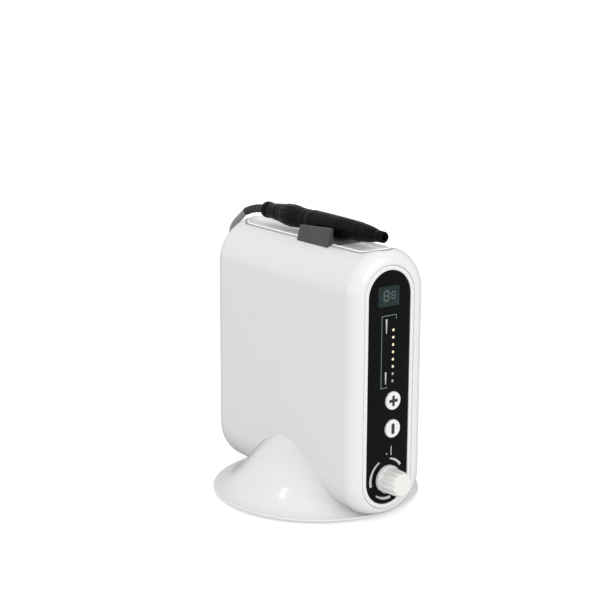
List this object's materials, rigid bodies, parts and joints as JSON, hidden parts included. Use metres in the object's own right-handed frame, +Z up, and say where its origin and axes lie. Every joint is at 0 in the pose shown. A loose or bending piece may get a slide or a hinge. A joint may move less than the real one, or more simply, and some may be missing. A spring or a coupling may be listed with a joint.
{
  "type": "ultrasonic scaler",
  "caption": "Slim upright dental scaler unit on a trumpet foot, with a control panel and water knob in front and a corded handpiece resting in a holder on top.",
  "frame": {"origin": "centre of the round foot pad's underside, on the surface that the unit stands on", "axes": "-Y towards the side with the control panel, +X to the right seen from there, +Z up"},
  "size_m": [0.15, 0.2114, 0.2061],
  "materials": {
    "white_plastic": "glossy moulded",
    "warm_white_plastic": "satin gloss moulded",
    "black_lens": "polished",
    "satin_black_plastic": "satin",
    "grey_rubber": "matt silicone",
    "hose_grey": "smooth silicone",
    "display_lens": "tinted clear",
    "light_pipe": "clear, lit",
    "black_rubber": "matt",
    "steel": "machined",
    "brass": "machined",
    "aluminium": "mill",
    "titanium": "turned",
    "circuit_board": "solder mask",
    "ceramic": "matt",
    "laminated_core": "varnished",
    "clear_tube": "clear"
  },
  "bodies": {
    "base_unit": {"base_skirt": "white_plastic", "base_plate": "steel", "foot_pad": "black_rubber", "base_screw_1": "steel", "base_screw_2": "steel", "base_screw_3": "steel", "base_screw_4": "steel", "main_housing": "white_plastic", "front_bezel": "warm_white_plastic", "control_panel": "black_lens", "display_window": "display_lens", "display_module": "satin_black_plastic", "light_pipe": "light_pipe", "light_bar": "ceramic", "plus_switch": "satin_black_plastic", "minus_switch": "satin_black_plastic", "control_board": "circuit_board", "valve_body": "brass", "valve_nut": "steel", "top_tray": "white_plastic", "handpiece_holder": "grey_rubber", "holder_screw_1": "steel", "holder_screw_2": "steel", "hose": "hose_grey", "rear_cover": "white_plastic", "rear_screw_1": "steel", "rear_screw_2": "steel", "rear_screw_3": "steel", "rear_screw_4": "steel", "power_inlet": "satin_black_plastic", "rocker_frame": "satin_black_plastic", "pedal_socket": "satin_black_plastic", "hose_gland": "satin_black_plastic", "water_inlet": "brass", "chassis": "aluminium", "main_board": "circuit_board", "heat_sink": "aluminium", "capacitor": "satin_black_plastic", "transformer": "laminated_core", "solenoid_body": "satin_black_plastic", "solenoid_spring": "steel", "inlet_tube": "clear_tube", "outlet_tube": "clear_tube"},
    "knob": {"water_knob": "warm_white_plastic", "valve_spindle": "steel"},
    "plus_key": {"plus_button": "warm_white_plastic"},
    "minus_key": {"minus_button": "warm_white_plastic"},
    "rocker": {"power_rocker": "satin_black_plastic"},
    "hose_end": {"hose_plug": "satin_black_plastic", "plug_o_ring": "black_rubber", "plug_collar": "satin_black_plastic", "strain_relief": "black_rubber"},
    "handpiece": {"nose_cap": "satin_black_plastic", "nose_cone": "satin_black_plastic", "grip_sleeve": "satin_black_plastic", "tail_sleeve": "satin_black_plastic", "piezo_horn": "titanium", "piezo_stack": "ceramic", "back_mass": "steel"},
    "plunger": {"solenoid_plunger": "steel"}
  },
  "joints": [
    {"name": "knob_turn", "type": "hinge", "parent": "base_unit", "child": "knob", "pos_m": [0, -0.0817, 0.0306], "axis": [0, 1, 0], "range_deg": [0, 280]},
    {"name": "plus_press", "type": "slide", "parent": "base_unit", "child": "plus_key", "axis": [0, 1, 0], "range_m": [0, 0.0006]},
    {"name": "minus_press", "type": "slide", "parent": "base_unit", "child": "minus_key", "axis": [0, 1, 0], "range_m": [0, 0.0006]},
    {"name": "power_rock", "type": "hinge", "parent": "base_unit", "child": "rocker", "pos_m": [0, 0.0852, 0.14], "axis": [1, 0, 0], "range_deg": [0, 16]},
    {"name": "handpiece_lift", "type": "slide", "parent": "base_unit", "child": "hose_end", "axis": [0, 0, 1], "range_m": [0, 0.06]},
    {"name": "handpiece_unplug", "type": "slide", "parent": "hose_end", "child": "handpiece", "axis": [0, -1, 0], "range_m": [0, 0.03]},
    {"name": "plunger_lift", "type": "slide", "parent": "base_unit", "child": "plunger", "axis": [0, 0, 1], "range_m": [0, 0.002], "deforming": ["solenoid_spring"]}
  ]
}
